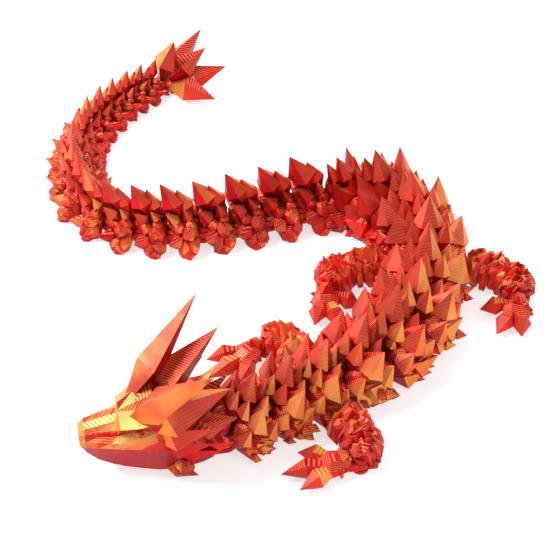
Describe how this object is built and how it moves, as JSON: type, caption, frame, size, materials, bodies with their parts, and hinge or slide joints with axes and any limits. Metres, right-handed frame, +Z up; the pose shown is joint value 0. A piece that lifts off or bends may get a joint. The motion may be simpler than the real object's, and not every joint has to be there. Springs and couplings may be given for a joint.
{
  "type": "articulated dragon figure",
  "caption": "Flat-bottomed articulated crystal dragon figure: horned head, jointed neck, body and long tapering tail, jointed legs and clawed feet, all on upright captive hinges.",
  "frame": {"origin": "centre of the footprint's bounding box, on the table surface that the flat undersides rest on", "axes": "+Z up from the table; +Y from the head's side towards the tail tip; -X the way the head looks"},
  "size_m": [0.1264, 0.1612, 0.039],
  "materials": {
    "red_gold_silk": "dual-colour red and gold silk filament, fused-layer printed, satin gloss with fine horizontal layer lines"
  },
  "bodies": {
    "head": {"head": "red_gold_silk"},
    "neck_segment_1": {"neck_segment_1": "red_gold_silk"},
    "neck_segment_2": {"neck_segment_2": "red_gold_silk"},
    "shoulder_segment": {"shoulder_segment": "red_gold_silk"},
    "body_segment_1": {"body_segment_1": "red_gold_silk"},
    "body_segment_2": {"body_segment_2": "red_gold_silk"},
    "body_segment_3": {"body_segment_3": "red_gold_silk"},
    "body_segment_4": {"body_segment_4": "red_gold_silk"},
    "hip_segment": {"hip_segment": "red_gold_silk"},
    "tail_segment_01": {"tail_segment_01": "red_gold_silk"},
    "tail_segment_02": {"tail_segment_02": "red_gold_silk"},
    "tail_segment_03": {"tail_segment_03": "red_gold_silk"},
    "tail_segment_04": {"tail_segment_04": "red_gold_silk"},
    "tail_segment_05": {"tail_segment_05": "red_gold_silk"},
    "tail_segment_06": {"tail_segment_06": "red_gold_silk"},
    "tail_segment_07": {"tail_segment_07": "red_gold_silk"},
    "tail_segment_08": {"tail_segment_08": "red_gold_silk"},
    "tail_segment_09": {"tail_segment_09": "red_gold_silk"},
    "tail_segment_10": {"tail_segment_10": "red_gold_silk"},
    "tail_segment_11": {"tail_segment_11": "red_gold_silk"},
    "tail_segment_12": {"tail_segment_12": "red_gold_silk"},
    "tail_segment_13": {"tail_segment_13": "red_gold_silk"},
    "tail_segment_14": {"tail_segment_14": "red_gold_silk"},
    "tail_segment_15": {"tail_segment_15": "red_gold_silk"},
    "tail_segment_16": {"tail_segment_16": "red_gold_silk"},
    "tail_segment_17": {"tail_segment_17": "red_gold_silk"},
    "tail_segment_18": {"tail_segment_18": "red_gold_silk"},
    "tail_segment_19": {"tail_segment_19": "red_gold_silk"},
    "tail_segment_20": {"tail_segment_20": "red_gold_silk"},
    "tail_segment_21": {"tail_segment_21": "red_gold_silk"},
    "tail_tip": {"tail_tip": "red_gold_silk"},
    "front_left_upper_leg": {"front_left_upper_leg": "red_gold_silk"},
    "front_left_lower_leg": {"front_left_lower_leg": "red_gold_silk"},
    "front_left_foot": {"front_left_foot": "red_gold_silk"},
    "front_right_upper_leg": {"front_right_upper_leg": "red_gold_silk"},
    "front_right_lower_leg": {"front_right_lower_leg": "red_gold_silk"},
    "front_right_foot": {"front_right_foot": "red_gold_silk"},
    "hind_left_upper_leg": {"hind_left_upper_leg": "red_gold_silk"},
    "hind_left_lower_leg": {"hind_left_lower_leg": "red_gold_silk"},
    "hind_left_foot": {"hind_left_foot": "red_gold_silk"},
    "hind_right_upper_leg": {"hind_right_upper_leg": "red_gold_silk"},
    "hind_right_lower_leg": {"hind_right_lower_leg": "red_gold_silk"},
    "hind_right_foot": {"hind_right_foot": "red_gold_silk"}
  },
  "joints": [
    {"name": "head_bend", "type": "hinge", "parent": "neck_segment_1", "child": "head", "pos_m": [-0.01409, -0.06622, 0.003], "axis": [0, 0, 1], "range_deg": [-10, 50]},
    {"name": "neck_segment_1_bend", "type": "hinge", "parent": "neck_segment_2", "child": "neck_segment_1", "pos_m": [-0.00543, -0.06122, 0.003], "axis": [0, 0, -1], "range_deg": [-31, 29]},
    {"name": "neck_segment_2_bend", "type": "hinge", "parent": "shoulder_segment", "child": "neck_segment_2", "pos_m": [0.00314, -0.05607, 0.003], "axis": [0, 0, 1], "range_deg": [-29, 31]},
    {"name": "shoulder_segment_bend", "type": "hinge", "parent": "body_segment_1", "child": "shoulder_segment", "pos_m": [0.01162, -0.05077, 0.003], "axis": [0, 0, -1], "range_deg": [-32, 28]},
    {"name": "body_segment_1_bend", "type": "hinge", "parent": "body_segment_2", "child": "body_segment_1", "pos_m": [0.02116, -0.04434, 0.003], "axis": [0, 0, 1], "range_deg": [-16, 44]},
    {"name": "body_segment_2_bend", "type": "hinge", "parent": "body_segment_3", "child": "body_segment_2", "pos_m": [0.02885, -0.03579, 0.003], "axis": [0, 0, -1], "range_deg": [-44, 16]},
    {"name": "body_segment_3_bend", "type": "hinge", "parent": "body_segment_4", "child": "body_segment_3", "pos_m": [0.03425, -0.02564, 0.003], "axis": [0, 0, 1], "range_deg": [-16, 44]},
    {"name": "body_segment_4_bend", "type": "hinge", "parent": "hip_segment", "child": "body_segment_4", "pos_m": [0.03703, -0.01448, 0.003], "axis": [0, 0, -1], "range_deg": [-44, 16]},
    {"name": "tail_segment_01_bend", "type": "hinge", "parent": "hip_segment", "child": "tail_segment_01", "pos_m": [0.03703, -0.00298, 0.003], "axis": [0, 0, 1], "range_deg": [-57, 3]},
    {"name": "tail_segment_02_bend", "type": "hinge", "parent": "tail_segment_01", "child": "tail_segment_02", "pos_m": [0.03181, 0.00726, 0.003], "axis": [0, 0, -1], "range_deg": [-3, 57]},
    {"name": "tail_segment_03_bend", "type": "hinge", "parent": "tail_segment_02", "child": "tail_segment_03", "pos_m": [0.02251, 0.01402, 0.003], "axis": [0, 0, 1], "range_deg": [-57, 3]},
    {"name": "tail_segment_04_bend", "type": "hinge", "parent": "tail_segment_03", "child": "tail_segment_04", "pos_m": [0.01303, 0.01553, 0.003], "axis": [0, 0, -1], "range_deg": [-3, 57]},
    {"name": "tail_segment_05_bend", "type": "hinge", "parent": "tail_segment_04", "child": "tail_segment_05", "pos_m": [0.00414, 0.01264, 0.003], "axis": [0, 0, 1], "range_deg": [-31, 29]},
    {"name": "tail_segment_06_bend", "type": "hinge", "parent": "tail_segment_05", "child": "tail_segment_06", "pos_m": [-0.00444, 0.00968, 0.003], "axis": [0, 0, -1], "range_deg": [-33, 27]},
    {"name": "tail_segment_07_bend", "type": "hinge", "parent": "tail_segment_06", "child": "tail_segment_07", "pos_m": [-0.01291, 0.00726, 0.003], "axis": [0, 0, 1], "range_deg": [-27, 33]},
    {"name": "tail_segment_08_bend", "type": "hinge", "parent": "tail_segment_07", "child": "tail_segment_08", "pos_m": [-0.02125, 0.00533, 0.003], "axis": [0, 0, -1], "range_deg": [-38, 22]},
    {"name": "tail_segment_09_bend", "type": "hinge", "parent": "tail_segment_08", "child": "tail_segment_09", "pos_m": [-0.02951, 0.00461, 0.003], "axis": [0, 0, 1], "range_deg": [-22, 38]},
    {"name": "tail_segment_10_bend", "type": "hinge", "parent": "tail_segment_09", "child": "tail_segment_10", "pos_m": [-0.03754, 0.00503, 0.003], "axis": [0, 0, -1], "range_deg": [-44, 16]},
    {"name": "tail_segment_11_bend", "type": "hinge", "parent": "tail_segment_10", "child": "tail_segment_11", "pos_m": [-0.04497, 0.0073, 0.003], "axis": [0, 0, 1], "range_deg": [-7, 53]},
    {"name": "tail_segment_12_bend", "type": "hinge", "parent": "tail_segment_11", "child": "tail_segment_12", "pos_m": [-0.05072, 0.01213, 0.003], "axis": [0, 0, -1], "range_deg": [-53, 7]},
    {"name": "tail_segment_13_bend", "type": "hinge", "parent": "tail_segment_12", "child": "tail_segment_13", "pos_m": [-0.05401, 0.01859, 0.003], "axis": [0, 0, 1], "range_deg": [-19, 41]},
    {"name": "tail_segment_14_bend", "type": "hinge", "parent": "tail_segment_13", "child": "tail_segment_14", "pos_m": [-0.05594, 0.02531, 0.003], "axis": [0, 0, -1], "range_deg": [-41, 19]},
    {"name": "tail_segment_15_bend", "type": "hinge", "parent": "tail_segment_14", "child": "tail_segment_15", "pos_m": [-0.05653, 0.03201, 0.003], "axis": [0, 0, 1], "range_deg": [-19, 41]},
    {"name": "tail_segment_16_bend", "type": "hinge", "parent": "tail_segment_15", "child": "tail_segment_16", "pos_m": [-0.05585, 0.03844, 0.003], "axis": [0, 0, -1], "range_deg": [-41, 19]},
    {"name": "tail_segment_17_bend", "type": "hinge", "parent": "tail_segment_16", "child": "tail_segment_17", "pos_m": [-0.05404, 0.04437, 0.003], "axis": [0, 0, 1], "range_deg": [-19, 41]},
    {"name": "tail_segment_18_bend", "type": "hinge", "parent": "tail_segment_17", "child": "tail_segment_18", "pos_m": [-0.05124, 0.04962, 0.003], "axis": [0, 0, -1], "range_deg": [-36, 24]},
    {"name": "tail_segment_19_bend", "type": "hinge", "parent": "tail_segment_18", "child": "tail_segment_19", "pos_m": [-0.04807, 0.05434, 0.003], "axis": [0, 0, 1], "range_deg": [-24, 36]},
    {"name": "tail_segment_20_bend", "type": "hinge", "parent": "tail_segment_19", "child": "tail_segment_20", "pos_m": [-0.04458, 0.05849, 0.003], "axis": [0, 0, -1], "range_deg": [-36, 24]},
    {"name": "tail_segment_21_bend", "type": "hinge", "parent": "tail_segment_20", "child": "tail_segment_21", "pos_m": [-0.04087, 0.06207, 0.003], "axis": [0, 0, 1], "range_deg": [-24, 36]},
    {"name": "tail_tip_bend", "type": "hinge", "parent": "tail_segment_21", "child": "tail_tip", "pos_m": [-0.03701, 0.06509, 0.003], "axis": [0, 0, -1], "range_deg": [-36, 24]},
    {"name": "front_left_hip", "type": "hinge", "parent": "shoulder_segment", "child": "front_left_upper_leg", "pos_m": [0.01242, -0.06148, 0.003], "axis": [0, 0, 1], "range_deg": [-12, 30]},
    {"name": "front_left_knee", "type": "hinge", "parent": "front_left_upper_leg", "child": "front_left_lower_leg", "pos_m": [0.01905, -0.06595, 0.003], "axis": [0, 0, 1], "range_deg": [-10, 30]},
    {"name": "front_left_ankle", "type": "hinge", "parent": "front_left_lower_leg", "child": "front_left_foot", "pos_m": [0.01799, -0.07348, 0.003], "axis": [0, 0, -1], "range_deg": [-35, 8]},
    {"name": "front_right_hip", "type": "hinge", "parent": "shoulder_segment", "child": "front_right_upper_leg", "pos_m": [0.00235, -0.04536, 0.003], "axis": [0, 0, 1], "range_deg": [-30, 12]},
    {"name": "front_right_knee", "type": "hinge", "parent": "front_right_upper_leg", "child": "front_right_lower_leg", "pos_m": [0.0036, -0.03746, 0.003], "axis": [0, 0, -1], "range_deg": [-10, 30]},
    {"name": "front_right_ankle", "type": "hinge", "parent": "front_right_lower_leg", "child": "front_right_foot", "pos_m": [-0.00371, -0.03537, 0.003], "axis": [0, 0, -1], "range_deg": [-8, 35]},
    {"name": "hind_left_hip", "type": "hinge", "parent": "hip_segment", "child": "hind_left_upper_leg", "pos_m": [0.04653, -0.00873, 0.003], "axis": [0, 0, -1], "range_deg": [-30, 12]},
    {"name": "hind_left_knee", "type": "hinge", "parent": "hind_left_upper_leg", "child": "hind_left_lower_leg", "pos_m": [0.05674, -0.01225, 0.003], "axis": [0, 0, 1], "range_deg": [-10, 30]},
    {"name": "hind_left_ankle", "type": "hinge", "parent": "hind_left_lower_leg", "child": "hind_left_foot", "pos_m": [0.0611, -0.01847, 0.003], "axis": [0, 0, 1], "range_deg": [-8, 35]},
    {"name": "hind_right_hip", "type": "hinge", "parent": "hip_segment", "child": "hind_right_upper_leg", "pos_m": [0.02753, -0.00873, 0.003], "axis": [0, 0, -1], "range_deg": [-12, 30]},
    {"name": "hind_right_knee", "type": "hinge", "parent": "hind_right_upper_leg", "child": "hind_right_lower_leg", "pos_m": [0.01687, -0.01042, 0.003], "axis": [0, 0, -1], "range_deg": [-10, 30]},
    {"name": "hind_right_ankle", "type": "hinge", "parent": "hind_right_lower_leg", "child": "hind_right_foot", "pos_m": [0.01056, -0.01467, 0.003], "axis": [0, 0, -1], "range_deg": [-8, 35]}
  ]
}
